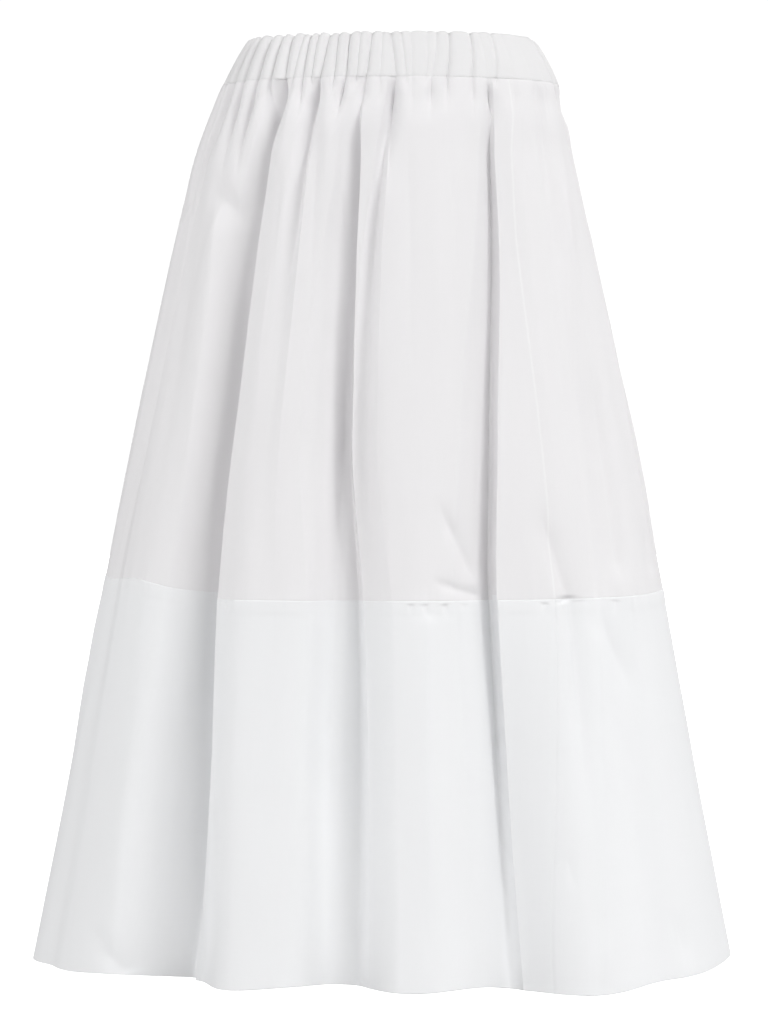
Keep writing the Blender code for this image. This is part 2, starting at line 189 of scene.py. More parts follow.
# The pieces of each tier lie between two cells: the left one, the front one and the right one
BACK_SEAM = 0
LEFT_SEAM = int(FIRST_CELL[[fold.name for fold in EDGES].index("left front")]) - 1
RIGHT_SEAM = int(FIRST_CELL[[fold.name for fold in EDGES].index("right front seam")])
Gore = namedtuple("Gore", "name first last upper_columns lower_columns upper_width lower_widths")
GORES = (
    Gore("front", LEFT_SEAM, RIGHT_SEAM, 28, 14, 0.39, (0.39, 0.39)),
    Gore("right", RIGHT_SEAM, CELLS, 16, 12, 0.56, (0.56, 0.72)),
    Gore("left", BACK_SEAM, LEFT_SEAM, 18, 12, 0.57, (0.57, 0.70)),
)

# The seams between them: how deep the groove is in each tier, and how much the upper tier's shows as a pale line
Seam = namedtuple("Seam", "cell upper_mm lower_mm pale")
SEAMS = (
    Seam(BACK_SEAM, 0.25, 0.35, 0.5),
    Seam(LEFT_SEAM, 0.05, 0.10, 0.2),
    Seam(RIGHT_SEAM, 0.12, 0.45, 0.6),
)
SEAM_WIDTH = 0.0009
ALLOWANCE, ALLOWANCE_HEIGHT, ALLOWANCE_EDGE, ALLOWANCE_FADE = 0.010, 0.00025, (-0.001, 0.0005), 0.003

# Gathers: narrow valleys that cross the waistband and run out below it. Each has its turn at the band's top, at its
# seam and at its end, how far down it ends, its depth on the band and below it, and its half width on the band.
Gather = namedtuple("Gather", "top seam end end_down band_mm below_mm width_mm")
FRONT_GATHERS = (
    Gather(-82, -79, -76, 0.08, 2.4, 4, 1.8),
    Gather(-74, -69, -65.5, 0.09, 2.6, 4.6, 1.8),
    Gather(-66, -61, -54.5, 0.11, 2.2, 4.8, 1.8),
    Gather(-57, -52.5, -47.5, 0.12, 2.6, 5, 2),
    Gather(-49.5, -45.5, -39.8, 0.085, 2.4, 3.6, 1.6),
    Gather(-43.5, -39, -37.3, 0.085, 2.6, 6.5, 2),
    Gather(-37.5, -35.5, -34.5, 0.04, 1.5, 1.6, 1.4),
    Gather(-34.6, -31.6, -29, 0.06, 2.6, 4, 1.8),
    Gather(-30.6, -28.2, -26.8, 0.036, 1.8, 1.8, 1.4),
    Gather(-25.5, -25, -22.9, 0.11, 2.8, 6.5, 1.9),
    Gather(-21.6, -19.6, -19.2, 0.045, 2, 2, 1.4),
    Gather(-17, -15.5, -16.4, 0.07, 2.6, 5.5, 1.6),
    Gather(-12.5, -11.8, -12, 0.036, 1.4, 1.2, 1.4),
    Gather(-8, -8.4, -8.4, 0.06, 2.2, 3.8, 1.6),
    Gather(-3.7, -3.9, -2.8, 0.05, 1, 1.6, 1.6),
    Gather(-0.6, 1.7, 1.4, 0.13, 2, 5.5, 2),
    Gather(3.4, 5, 5.4, 0.034, 1.2, 1.2, 1.4),
    Gather(7.4, 7, 7.8, 0.066, 1, 2, 2.2),
    Gather(13.9, 11.8, 11.2, 0.03, 0.8, 0.8, 1.4),
    Gather(18, 13.7, 13.8, 0.062, 1.2, 4.2, 1.6),
    Gather(23.2, 19.3, 19, 0.056, 2, 2.2, 1.2),
    Gather(32.5, 28.6, 28.2, 0.06, 1.5, 2.4, 1.2),
    Gather(36.5, 34, 36.4, 0.075, 0.3, 3.8, 1.5),
    Gather(43, 37.8, 36.8, 0.03, 0.9, 0.6, 0.9),
    Gather(48, 45.7, 43.6, 0.058, 0.2, 1.6, 2.2),
    Gather(57, 56, 54, 0.054, 0.2, 1, 2.6),
    Gather(66, 65, 62, 0.062, 0.3, 1.3, 2.6),
)
HIDDEN_GATHERS_FROM, HIDDEN_GATHERS_TO = 73.0, 272.0
HIDDEN_GATHER_PITCH = 5.2
GATHER_SWELL, GATHER_WIDENING, GATHER_FADES_FROM = 0.022, 1.6, 0.15
VALLEY_SHARP, VALLEY_ROUNDING, VALLEY_SPREAD = 0.7, 0.15, 3
GATHER_STRENGTH = 2.0
LOBE_HEIGHT, LOBE_FADE = 0.0011, 0.060

# Creases: soft troughs, or ridges where the depth is negative, on a straight line from one place to another, with an
# optional sideways bend in the middle. Sharp is 0 for a rounded section and 1 for one like a pressed fold.
Crease = namedtuple(
    "Crease", "turn down end_turn end_down depth_mm width_mm sharp fade_in fade_out bend_mm", defaults=(0.0,)
)
FRONT_CREASES = (
    # the left lobe's long ridge, the corner where it begins, and the flat beside it
    Crease(-53, 0.118, -48.5, 0.44, -6.5, 12, 0.35, 0.12, 0.6, 3),
    Crease(-49, 0.4, -49.5, 0.777, -4.5, 16, 0.2, 0.4, 0.4),
    Crease(-58, 0.1, -44, 0.148, 4.5, 7, 0.5, 0.35, 0.3),
    Crease(-62, 0.15, -57, 0.4, 2.5, 12, 0.2, 0.3, 0.5),
    Crease(-70, 0.09, -66, 0.3, -2.2, 9, 0.3, 0.3, 0.5),
    Crease(-78, 0.03, -76, 0.25, 5, 6, 0.3, 0.2, 0.6),
    # the deep flanks left of the left front fold and of the middle one
    Crease(-47, 0.11, -44.5, 0.64, 9, 9, 0.2, 0.25, 0.3),
    Crease(-12, 0.18, -11.5, 0.68, 9, 8, 0.2, 0.3, 0.3),
    Crease(-11.5, 0.48, -9.5, 0.8, 5, 11, 0.1, 0.4, 0),
    # the wide lobe between the left front fold and the middle one
    Crease(-27, 0.11, -25, 0.42, -1.6, 12, 0.1, 0.3, 0.5),
    Crease(-31.5, 0.07, -31, 0.3, 1.8, 6, 0.4, 0.2, 0.6),
    Crease(-16, 0.15, -17, 0.4, -1.2, 8, 0.2, 0.3, 0.4),
    Crease(-20.5, 0.05, -19, 0.25, 2.2, 5, 0.4, 0.2, 0.6),
    Crease(-14, 0.045, -12.5, 0.22, 2, 4.5, 0.4, 0.2, 0.6),
    Crease(-11, 0.11, -11.5, 0.26, -1.2, 4, 0.3, 0.3, 0.5),
    # the wide lobe between the middle fold and the right front one
    Crease(7.5, 0.05, 6.5, 0.3, 1.4, 6, 0.3, 0.2, 0.6),
    Crease(15, 0.06, 13, 0.38, -1, 9, 0.2, 0.3, 0.5),
    Crease(11, 0.372, 18.2, 0.446, 4.2, 5.5, 0.6, 0.45, 0.25),
    Crease(8.6, 0.441, 19.6, 0.457, 2.6, 4, 0.5, 0.4, 0.2),
    Crease(20, 0.07, 19, 0.25, 1.2, 6, 0.3, 0.3, 0.6),
    # the shadow by the right front seam, above and below the join
    Crease(34.5, 0.375, 40.2, 0.462, 4.6, 8, 0.5, 0.5, 0.04),
    Crease(40.6, 0.455, 38.5, 0.68, 6, 9.5, 0.35, 0.03, 0.75),
    Crease(33.3, 0.662, 33.9, 0.694, 1.6, 2.6, 0.7, 0.35, 0.35),
    # the right side's long ridge, and the valley beyond it
    Crease(69.3, 0.07, 50.7, 0.309, -2.8, 9, 0.5, 0.3, 0.4),
    Crease(60.5, 0.25, 58, 0.45, 3.6, 9, 0.4, 0.4, 0.12, 1.5),
    Crease(51, 0.47, 57, 0.55, 2.6, 8, 0.4, 0.3, 0.5),
    # folds pressed into the lower tier
    Crease(8.7, 0.468, 7.5, 0.745, -2.2, 8, 0.95, 0.04, 0.3),
    Crease(48.2, 0.48, 37, 0.776, -2.4, 8, 0.95, 0.06, 0.1),
    # where the hem turns
    Crease(-58.6, 0.732, -47, 0.776, 3, 8, 0.5, 0.4, 0.05),
    Crease(56, 0.715, 59.5, 0.77, 1.5, 9, 0.2, 0.5, 0.3),
    Crease(-6, 0.7, -4, 0.777, 2.2, 7, 0.4, 0.5, 0.05),
)

# Short puckers that hang from the join, with where each ends. They are creases alike in all but these columns.
Pucker = namedtuple("Pucker", "turn end_turn end_down depth_mm width_mm")
PUCKERS = (
    Pucker(-46, -45, 0.475, 1.3, 1.8),
    Pucker(-44, -43.6, 0.472, 1, 1.6),
    Pucker(-34.6, -33.8, 0.474, 1.3, 2),
    Pucker(5.4, 5.2, 0.471, 1.1, 1.8),
    Pucker(8, 8.4, 0.473, 1.3, 2),
    Pucker(11.8, 12.4, 0.474, 1.5, 2),
    Pucker(15.6, 15, 0.471, 1.1, 1.8),
    Pucker(34, 33.2, 0.474, 1.4, 2.2),
    Pucker(38.3, 38, 0.472, 1.2, 1.8),
    Pucker(55.5, 54.6, 0.474, 1.4, 2.2),
)
PUCKERS_START, PUCKER_SHARP, PUCKER_FADES = 0.461, 0.8, (0.1, 0.7)
CREASE_REACH, LEAST_FADE = 60, 0.001
HIDDEN_LONG_CREASES = 26
HIDDEN_SHORT_CREASES = 22

# Soft swells in three sizes: their share of the height, how many lie round the skirt, and their length
Swell = namedtuple("Swell", "share round length")
SWELLS = (Swell(1.5, 34, 0.150), Swell(0.55, 90, 0.070), Swell(0.16, 230, 0.030))
RUMPLE_RUN_IN = 0.03
RUMPLE_SEED = 11
HIDDEN_SEED = 5


def through(values, down):
    """A smooth line through one value at each station: cubic pieces, with no overshoot, and level beyond the ends."""
    at, value = np.array(STATIONS), np.array(values, float)
    rise = np.diff(value) / np.diff(at)
    before, after = rise[:-1], rise[1:]
    total = np.where(before + after == 0, 1, before + after)
    slope = np.zeros(len(value))
    slope[1:-1] = np.where(before * after > 0, 2 * before * after / total, 0)
    down = np.clip(down, at[0], at[-1])
    k = np.clip(np.searchsorted(at, down) - 1, 0, len(at) - 2)
    step = at[k + 1] - at[k]
    t = (down - at[k]) / step
    ends = value[k] * (1 + 2 * t) * (1 - t) ** 2 + value[k + 1] * t * t * (3 - 2 * t)
    return ends + step * (slope[k] * t * (1 - t) ** 2 - slope[k + 1] * t * t * (1 - t))


def smooth_step(x, start, end):
    """0 before start, 1 after end, and 3 t squared less 2 t cubed between them."""
    t = np.clip((x - start) / (end - start), 0, 1)
    return t * t * (3 - 2 * t)


def bell(x, width):
    """1 at 0, falling as a half cosine to 0 at width on both sides."""
    return 0.5 + 0.5 * np.cos(np.pi * np.clip(np.abs(x) / width, 0, 1))


def around(turn, centre):
    """The angle from centre to turn, between -180 and 180 degrees."""
    return (turn - centre + 180) % 360 - 180


def ring(turn, down):
    """The general form without folds: a point, the outward and onward directions, and the metres in a degree of turn.

    The point is (lean + half width times sine, minus half depth times cosine, minus the height below the waist). That
    height is the length down the cloth, less the rises and the flare's slant. Both halves grow by a straight flare,
    less a tuck that fades out below the waist, and the half width has a bell of fullness above the join.
    """
    flat_down = down
    for rise in RISES:
        reach = bell(around(turn, rise.turn), rise.reach_turn) * bell(flat_down - rise.down, rise.reach_down)
        down = down - rise.metres * reach
    sine, cosine = np.sin(np.radians(turn)), np.cos(np.radians(turn))
    slant = (SIDE_FLARE * sine) ** 2 + (FRONT_FLARE * cosine) ** 2
    below = down * (1 - slant / 2)
    tuck = WAIST_TUCK * np.exp(-below / TUCK_FADE)
    fullness = SIDE_FULLNESS * bell(below - FULLNESS_AT, FULLNESS_REACH)
    half_width = SIDE_AT_WAIST + SIDE_FLARE * below - tuck + fullness
    half_depth = FRONT_AT_WAIST + FRONT_FLARE * below - tuck
    lean = LEAN_BELOW_WAIST * smooth_step(below, 0, LEAN_REACH) + LEAN_AT_HEM * np.clip(below / HEM, 0, 1)
    point = np.stack([lean + half_width * sine, -half_depth * cosine, -below], -1)
    flat = np.zeros_like(below)
    onward = np.stack([half_width * cosine, half_depth * sine, flat], -1)
    pace = np.linalg.norm(onward, axis=-1)
    onward = onward / pace[..., None]
    outward = np.stack([onward[..., 1], -onward[..., 0], flat], -1)
    return point, outward, onward, pace * math.pi / 180


def trough(fold, turn, down):
    """How much of a fold's depth is reached: 1 at its bottom, and 0 on the lobes beside it.

    Left of the bottom it is a half cosine, or where the fold has a curl, the share of the way to that power. Right of
    it, a half cosine and a quarter cosine are mixed by the fold's crispness. Both slopes widen from the waist down. A
    share of it is a wide bell, which rounds the lobes beside the fold.
    """
    opened = WIDTH_AT_WAIST + (1 - WIDTH_AT_WAIST) * smooth_step(down, 0, FULL_WIDTH_AT)
    x = around(turn, through(fold.turn, down) - fold.right * opened)
    right = np.clip(x / (fold.right * opened), 0, 1)
    steep = (1 - fold.crisp) * (0.5 + 0.5 * np.cos(np.pi * right)) + fold.crisp * np.cos(np.pi * right / 2)
    start = fold.left * opened
    left = np.clip(1 + x / start, 0, 1) ** fold.curl if fold.curl else bell(x, start)
    near = np.where(x < 0, left, np.where(right < 1, steep, 0.0))
    wide = HOLLOW_AT_WAIST + (HOLLOW_WIDTH - HOLLOW_AT_WAIST) * smooth_step(down, CROWDING_STARTS, CROWDING_ENDS)
    return (1 - HOLLOW_SHARE) * near + HOLLOW_SHARE * bell(x, wide)


def draped(turn, down, relief):
    """The tiers' outer face: the general form, sunk into the big folds, which lean under the lobe beside them.

    relief is how far each point stands out from that, in metres.
    """
    point, outward, onward, _ = ring(turn, down)
    sunk, slipped = np.zeros_like(turn), np.zeros_like(turn)
    opened = smooth_step(down, TROUGHS_START, STATIONS[0])
    for fold in FOLDS:
        depth = through(fold.depth_mm, down) / 1000 * opened * trough(fold, turn, down)
        sunk += depth
        slipped += fold.lean * depth
    return point + outward * (relief - sunk)[..., None] + onward * slipped[..., None]


def turn_grid(cells, downs):
    """The turn at each row and column. Columns follow the folds' edges, and crowd towards them below the band.

    Between two edges, a column's share t of the way becomes a mix of t and 3 t squared less 2 t cubed.
    """
    starts = np.stack([through(fold.turn, downs) for fold in EDGES], 1)
    ends = np.concatenate([starts[:, 1:], starts[:, :1] + 360], 1)
    k = np.clip(np.searchsorted(FIRST_CELL, cells, "right") - 1, 0, len(EDGES) - 1)
    t = (cells - FIRST_CELL[k]) / (FIRST_CELL[k + 1] - FIRST_CELL[k])
    crowding = EDGE_CROWDING * smooth_step(downs, CROWDING_STARTS, CROWDING_ENDS)[:, None]
    share = (1 - crowding) * t + crowding * t * t * (3 - 2 * t)
    return starts[:, k] + (ends - starts)[:, k] * share


def hidden_gathers():
    """Gathers for the sides and back, like those at the front, at uneven places from one seed."""
    rng = np.random.default_rng(HIDDEN_SEED)
    count = int((HIDDEN_GATHERS_TO - HIDDEN_GATHERS_FROM) / HIDDEN_GATHER_PITCH)
    tops = HIDDEN_GATHERS_FROM + HIDDEN_GATHER_PITCH * (np.arange(count) + rng.uniform(0.15, 0.85, count))
    seams = tops + rng.uniform(-1.8, 1.8, count)
    ends = seams + rng.uniform(-3.0, 3.0, count)
    reaches = rng.uniform(0.036, 0.090, count)
    band, below = rng.uniform(0.9, 2.6, count), rng.uniform(1.4, 5.4, count)
    widths = rng.uniform(1.4, 2.1, count)
    return [Gather(*row) for row in zip(tops, seams, ends, reaches, band, below, widths)]


def join_creases():
    """The puckers as creases, each of which hangs from the join."""
    return [Crease(row.turn, PUCKERS_START, *row[1:], PUCKER_SHARP, *PUCKER_FADES) for row in PUCKERS]


def hidden_creases():
    """Creases for the sides and back, like those at the front, at uneven places from one seed."""
    rng = np.random.default_rng(HIDDEN_SEED)
    rows = []
    for turn in np.linspace(74, 284, HIDDEN_LONG_CREASES) + rng.uniform(-3, 3, HIDDEN_LONG_CREASES):
        start = rng.uniform(0.06, 0.50)
        length = rng.uniform(0.14, 0.30)
        depth = rng.uniform(0.8, 3.0) * rng.choice((-1, 1))
        drift = rng.uniform(-4, 4)
        width, sharp = rng.uniform(7, 14), rng.uniform(0.1, 0.6)
        rows.append(Crease(turn, start, turn + drift, min(start + length, HEM), depth, width, sharp, 0.4, 0.4))
    for turn in np.linspace(76, 282, HIDDEN_SHORT_CREASES) + rng.uniform(-4, 4, HIDDEN_SHORT_CREASES):
        start = rng.choice((JOIN - 0.06, JOIN, HEM - 0.06, 0.10)) + rng.uniform(-0.004, 0.004)
        length, drift = rng.uniform(0.03, 0.06), rng.uniform(-6, 6)
        depth = rng.uniform(1.0, 2.4)
        end = min(start + length, HEM)
        rows.append(Crease(turn, start, turn + drift, end, depth, rng.uniform(4, 8), 0.5, 0.4, 0.2))
    return rows


GATHERS = (*FRONT_GATHERS, *hidden_gathers())
CREASES = (*FRONT_CREASES, *join_creases(), *hidden_creases())


def gather_relief(turn, down, amount):
    """The gathers' valleys: each is minus twice its depth times a section across it, which has two parts.

    One is e to the minus distance over width, rounded at the bottom. The other is e to the minus square of a third of
    that distance, and has the smaller share. On the band the depth is constant. Below it, the depth swells over 22 mm
    and falls to nothing at its end, and the valley grows wider. The cloth between them stands out by the lobes' height,
    which fades out below the band.
    """
    _, _, _, pace = ring(turn, down)
    relief = np.zeros_like(turn)
    for row in GATHERS:
        on_band = np.clip((down - BAND_TOP) / (BAND_SEAM - BAND_TOP), 0, 1)
        run = np.clip((down - BAND_SEAM) / (row.end_down - BAND_SEAM), 0, 1)
        centre = row.top + (row.seam - row.top) * on_band + (row.end - row.seam) * run
        swell = smooth_step(down, BAND_SEAM, BAND_SEAM + GATHER_SWELL)
        depth = (row.band_mm + (row.below_mm - row.band_mm) * swell) * (1 - smooth_step(run, GATHER_FADES_FROM, 1))
        width = row.width_mm * (1 + GATHER_WIDENING * run)
        x = around(turn, centre) * pace * 1000 / width
        sharp = np.exp(VALLEY_ROUNDING - np.sqrt(x * x + VALLEY_ROUNDING**2))
        relief -= depth * (VALLEY_SHARP * sharp + (1 - VALLEY_SHARP) * np.exp(-((x / VALLEY_SPREAD) ** 2)))
    lobes = LOBE_HEIGHT * (1 - smooth_step(down, BAND_SEAM + GATHER_SWELL, BAND_SEAM + LOBE_FADE))
    return relief / 1000 * amount * GATHER_STRENGTH + lobes


def crease_relief(turn, down, amount):
    """The creases: for each, minus its depth times a section across it times fades at both of its ends.

    The section is e to the minus x squared, mixed by the sharpness with e to the minus x, where x is the distance from
    its line over its width. A bend moves the line aside by a parabola that is highest half way along.
    """
    _, _, _, pace = ring(turn, down)
    relief = np.zeros_like(turn)
    for row in CREASES:
        middle = (row.turn + row.end_turn) / 2
        turns, downs = np.array([row.turn, row.end_turn], float), np.array([row.down, row.end_down])
        start_x, end_x = (turns - middle) * ring(turns, downs)[3] * 1000
        start_y, end_y = downs * 1000
        length = math.hypot(end_x - start_x, end_y - start_y)
        along_x, along_y = (end_x - start_x) / length, (end_y - start_y) / length
        x = around(turn, middle) * pace * 1000 - start_x
        y = down * 1000 - start_y
        run = (x * along_x + y * along_y) / length
        inside = np.clip(run, 0, 1)
        across = (x * along_y - y * along_x - row.bend_mm * 4 * inside * (1 - inside)) / row.width_mm
        section = (1 - row.sharp) * np.exp(-across * across) + row.sharp * np.exp(-np.abs(across))
        fade_in, fade_out = max(row.fade_in, LEAST_FADE), max(row.fade_out, LEAST_FADE)
        fade = smooth_step(run, 0, fade_in) * (1 - smooth_step(run, 1 - fade_out, 1))
        relief -= row.depth_mm * section * fade * (np.abs(around(turn, middle)) < CREASE_REACH)
    return relief / 1000 * amount


def rumple(turn, down, cells_round, cell_length, seed):
    """Uneven soft swells between -1 and 1: random heights on a lattice round and down the cloth, smoothly joined."""
    rng = np.random.default_rng(seed)
    rows = int(math.ceil((HEM - BAND_TOP) / cell_length)) + 2
    heights = rng.uniform(-1, 1, (rows, cells_round))
    x = (turn % 360) / 360 * cells_round
    y = (down - BAND_TOP) / cell_length + 0.5
    column, row = np.floor(x).astype(int), np.clip(np.floor(y).astype(int), 0, rows - 2)
    tx, ty = x - column, y - row
    tx, ty = tx * tx * (3 - 2 * tx), ty * ty * (3 - 2 * ty)
    left, right = column % cells_round, (column + 1) % cells_round
    above = heights[row, left] * (1 - tx) + heights[row, right] * tx
    below = heights[row + 1, left] * (1 - tx) + heights[row + 1, right] * tx
    return above * (1 - ty) + below * ty


def rumples(turn, down, height):
    """Three sizes of soft swell together, longer down the cloth than across it."""
    rows = enumerate(SWELLS, RUMPLE_SEED)
    return height * sum(row.share * rumple(turn, down, row.round, row.length, seed) for seed, row in rows)


def seam_relief(turn, down, downs, upper):
    """The seams down the skirt, and how much each point lies on a pale seam line, from 0 to 1.

    Each seam is a groove, minus its depth times e to the minus square of distance over width, and beside it the turned
    allowance stands out as a low step with soft ends.
    """
    _, _, _, pace = ring(turn, down)
    relief, pale = np.zeros_like(turn), np.zeros_like(turn)
    for seam in SEAMS:
        x = around(turn, turn_grid(np.array([float(seam.cell)]), downs)) * pace
        line = np.exp(-((x / SEAM_WIDTH) ** 2))
        step = smooth_step(x, *ALLOWANCE_EDGE) * (1 - smooth_step(x, ALLOWANCE, ALLOWANCE + ALLOWANCE_FADE))
        relief += ALLOWANCE_HEIGHT * step - (seam.upper_mm if upper else seam.lower_mm) / 1000 * line
        pale += seam.pale * line
    return relief, pale


def join_puckers(turn, down):
    """Small waves where the tiers are sewn together: long ones up to 0.6 mm high and short ones up to 0.3 mm.

    Each is one line across a lattice of rumples. They fade by e to the minus distance over 12 mm from the join.
    """
    long_wave = rumple(turn, np.full_like(down, 0.2), 150, 0.05, RUMPLE_SEED + 3)
    short_wave = rumple(turn, np.full_like(down, 0.3), 300, 0.05, RUMPLE_SEED + 4)
    height = PUCKER_HEIGHTS[0] * long_wave + PUCKER_HEIGHTS[1] * short_wave
    return height * np.exp(-np.abs(down - JOIN) / PUCKER_FADE)


def graded(start, end, first_step, last_step, middle_step):
    """Places from start to end. Their spacing grows from first_step by a share of the way, is middle_step at most, and
    shrinks in the same way to last_step.
    """
    even = np.linspace(0, 1, 2000)
    growing = first_step + STEP_GROWTH * even * (end - start)
    shrinking = last_step + STEP_GROWTH * (1 - even) * (end - start)
    spacing = np.minimum(np.minimum(growing, shrinking), middle_step)
    count = np.concatenate([[0], np.cumsum(1 / spacing[1:])])
    total = int(round(count[-1] * (end - start) / len(even)))
    return np.interp(np.linspace(0, count[-1], total + 1), count, start + even * (end - start))


def new_mesh(name, points, faces):
    mesh = bpy.data.meshes.new(name)
    mesh.from_pydata(points.reshape(-1, 3), [], faces)
    return mesh


def grid_mesh(name, points, closed_round=False, closed_down=False):
    """A mesh of quads on a grid of points, rows by columns, whose faces look outwards."""
    rows, columns = points.shape[:2]
    number = np.arange(rows * columns).reshape(rows, columns)
    if closed_down:
        number = np.concatenate([number, number[:1]])
    if closed_round:
        number = np.concatenate([number, number[:, :1]], 1)
    faces = np.stack([number[:-1, :-1], number[1:, :-1], number[1:, 1:], number[:-1, 1:]], -1).reshape(-1, 4)
    mesh = new_mesh(name, points, faces)
    mesh.shade_smooth()
    return mesh, faces


def lay_out(mesh, faces, across, along):
    """A UV map named cloth, in metres on the flat cloth, from each vertex's place across and along it."""
    layer = mesh.uv_layers.new(name="cloth")
    places = np.stack([across.ravel()[faces], along.ravel()[faces]], -1)
    layer.data.foreach_set("uv", places.ravel().astype(np.float32))


def point_value(mesh, name, values):
    """A number at each vertex, which a material reads by its name."""
    attribute = mesh.attributes.new(name, "FLOAT", "POINT")
    attribute.data.foreach_set("value", values.ravel().astype(np.float32))


def placed(name, mesh, material, slot, *nodes):
    """An object for a mesh: it rides on the skirt's body, stands for the given solids and takes the given finish; its
    slot is not used.
    """
    piece = bpy.data.objects.new(name, mesh)
    bpy.context.collection.objects.link(piece)
    mesh.materials.append(material)
    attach(piece, "root")
    if nodes:
        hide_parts(*nodes)
    return piece


class Value:
    """A number that varies over a surface. Arithmetic on it adds Math nodes."""

    def __init__(self, sheet, socket):
        self.sheet, self.socket = sheet, socket

    def joined(self, operation, first, second):
        return self.sheet.value("ShaderNodeMath", {"operation": operation}, {0: first, 1: second})

    def __add__(self, other):
        return self.joined("ADD", self, other)

    __radd__ = __add__

    def __mul__(self, other):
        return self.joined("MULTIPLY", self, other)

    __rmul__ = __mul__

    def sine(self):
        return self.joined("SINE", self, 0.0)


class NodeSheet:
    """A material's nodes."""

    def __init__(self, material):
        material.use_nodes = True
        self.tree = material.node_tree
        self.shader = self.tree.nodes["Principled BSDF"]

    def node(self, kind, settings=None, inputs=None):
        """Any node: its settings are set first, then the values or links of its sockets, by name or number."""
        made = self.tree.nodes.new(kind)
        for key, setting in (settings or {}).items():
            setattr(made, key, setting)
        for key, given in (inputs or {}).items():
            self.feed(made.inputs[key], given)
        return made

    def feed(self, socket, given):
        if isinstance(given, Value):
            given = given.socket
        if isinstance(given, bpy.types.NodeSocket):
            self.tree.links.new(given, socket)
        else:
            socket.default_value = given

    def value(self, kind, settings=None, inputs=None):
        return Value(self, self.node(kind, settings, inputs).outputs[0])

    def colour_mix(self, share, first, second):
        return self.node("ShaderNodeMix", {"data_type": "RGBA"}, {"Factor": share, 6: first, 7: second}).outputs[2]

    def finish(self, inputs):
        """Feeds the shader's sockets, by name."""
        for name, given in inputs.items():
            self.feed(self.shader.inputs[name], given)

    def flat_cloth(self):
        """The place on the flat cloth, whole and as its two numbers across and along."""
        place = self.node("ShaderNodeUVMap", {"uv_map": "cloth"}).outputs[0]
        split = self.node("ShaderNodeSeparateXYZ", inputs={0: place})
        return place, Value(self, split.outputs[0]), Value(self, split.outputs[1])


def shade(colour, share):
    """A colour made darker by a share, as four numbers."""
    return (colour[0] * share, colour[1] * share, colour[2] * share, 1.0)


# The poplin: how wide its thick yarns are and how far they run each way, its blotches, the share and height of its
# weave, and its seam line. The thread: how far one twist runs along it and round it, and its height.
SLUB_WIDTH, WARP_SLUB, WEFT_SLUB = 0.0011, 0.030, 0.026
BLOTCH_WIDTH, BLOTCH_LENGTH = 0.045, 0.070
WEAVE_SHARE, WEAVE_HEIGHT = 0.35, 0.00012
SEAM_TONE, UPPER_SEAM_STRENGTH = (0.93, 0.93, 0.93, 1.0), 0.8
TWIST_ALONG, TWIST_ROUND, TWIST_HEIGHT = 0.0008, 0.0006, 0.0001


def poplin(name, colour, seam_strength, pitch):
    """Cotton poplin: a plain weave of fine yarns, thick yarns both ways, and soft blotches where it is less dense.

    The weave's height is the sine across times the sine along at the yarns' pitch. Slubs are noise drawn out along
    each yarn direction. seam_line brightens the cloth where the seam's layers lie under it.
    """
    material = bpy.data.materials.new(name)
    sheet = NodeSheet(material)
    place, across, along = sheet.flat_cloth()
    weave = (across * (math.tau / pitch)).sine() * (along * (math.tau / pitch)).sine()

    def noise(width, length, detail):
        drawn_out = (1 / width, 1 / length, 1.0)
        at = sheet.node("ShaderNodeVectorMath", {"operation": "MULTIPLY"}, {0: place, 1: drawn_out}).outputs[0]
        inputs = {"Vector": at, "Scale": 1.0, "Detail": detail}
        return sheet.value("ShaderNodeTexNoise", {"noise_dimensions": "2D"}, inputs)

    warp_slub = noise(SLUB_WIDTH, WARP_SLUB, 2.0)
    weft_slub = noise(WEFT_SLUB, SLUB_WIDTH, 2.0)
    blotch = noise(BLOTCH_WIDTH, BLOTCH_LENGTH, 3.0)
    slub = (warp_slub + weft_slub) * 0.5
    seam = Value(sheet, sheet.node("ShaderNodeAttribute", {"attribute_name": "seam_line"}).outputs["Fac"])
    tone = sheet.colour_mix(slub, shade(colour, 0.985), shade(colour, 1.012))
    tone = sheet.colour_mix(blotch * 0.5, tone, shade(colour, 0.975))
    height = weave * WEAVE_SHARE + slub * (1 - WEAVE_SHARE)
    bump = sheet.node("ShaderNodeBump", inputs={"Strength": 0.35, "Distance": WEAVE_HEIGHT, "Height": height})
    tone = sheet.colour_mix(seam * seam_strength, tone, SEAM_TONE)
    sheet.finish({"Base Color": tone, "Roughness": 0.80 + slub * 0.10, "Normal": bump.outputs[0], "Metallic": 0.0})
    sheet.finish({"Specular IOR Level": 0.25, "Sheen Weight": 0.06, "Sheen Roughness": 0.5})
    return material


def thread_finish(colour):
    """Sewing thread: twisted yarn, whose height is the sine of the way along the stitch plus the way round it. Its
    colour is darker where that height is low, as painted shade in the twist's grooves.
    """
    material = bpy.data.materials.new("sewing_thread")
    sheet = NodeSheet(material)
    _, along, round_it = sheet.flat_cloth()
    twist = (along * (math.tau / TWIST_ALONG) + round_it * (math.tau / TWIST_ROUND)).sine()
    # painted shade: the thread's colour darkens by a tenth in the twist's grooves, where its height is lowest
    tone = sheet.colour_mix(twist * 0.5 + 0.5, shade(colour, 0.9), shade(colour, 1.0))
    bump = sheet.node("ShaderNodeBump", inputs={"Strength": 0.4, "Distance": TWIST_HEIGHT, "Height": twist})
    sheet.finish({"Base Color": tone, "Roughness": 0.6, "Normal": bump.outputs[0]})
    return material


def poplin_named(name, colour, seam_strength, settings):
    """The poplin of that name, made once."""
    return bpy.data.materials.get(name) or poplin(name, colour, seam_strength, settings.yarn_pitch)


def strength_setting(name, text, default=1.0, most=2):
    return bpy.props.FloatProperty(name=name, description=text, default=default, min=0, max=most)


def length_setting(name, text, metres):
    return bpy.props.FloatProperty(name=name, description=text, default=metres, min=0, unit="LENGTH", precision=5)


def colour_setting(name, text, colour):
    return bpy.props.FloatVectorProperty(name=name, description=text, default=colour, subtype="COLOR")


